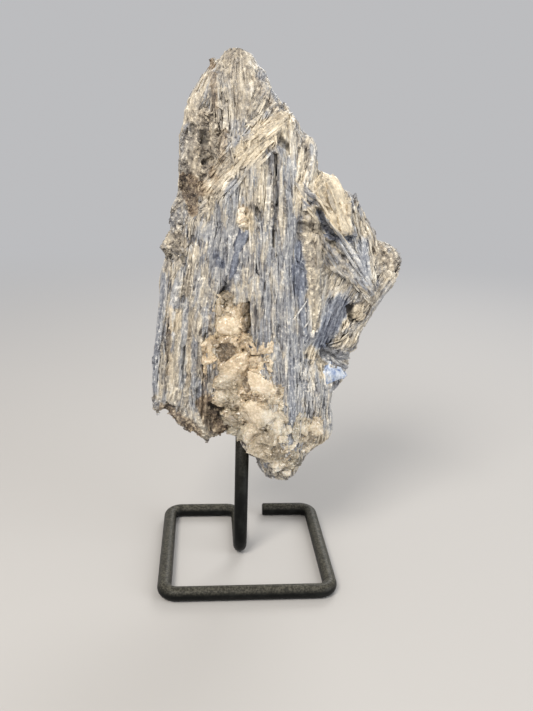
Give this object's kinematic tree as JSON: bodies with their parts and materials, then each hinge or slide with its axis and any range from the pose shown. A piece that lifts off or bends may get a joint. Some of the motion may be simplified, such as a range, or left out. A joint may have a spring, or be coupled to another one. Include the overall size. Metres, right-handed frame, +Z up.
{
  "type": "kyanite blade cluster on a stand",
  "caption": "Upright slab of grey-blue bladed kyanite with cream quartz, glued on the post of an open square foot bent from black steel rod.",
  "frame": {"origin": "on the ground, under the middle of the whole object's box", "axes": "+Z up along the blades, the crystal's broad front face towards -Y, its right wing towards +X"},
  "size_m": [0.1044, 0.076, 0.2165],
  "materials": {
    "kyanite": "natural broken faces, silky along the blades",
    "quartz": "cloudy, cream, broken facets",
    "black_steel": "satin black powder coat"
  },
  "bodies": {
    "root": {"rod_stand": "black_steel", "kyanite_cluster": "kyanite"}
  },
  "joints": []
}
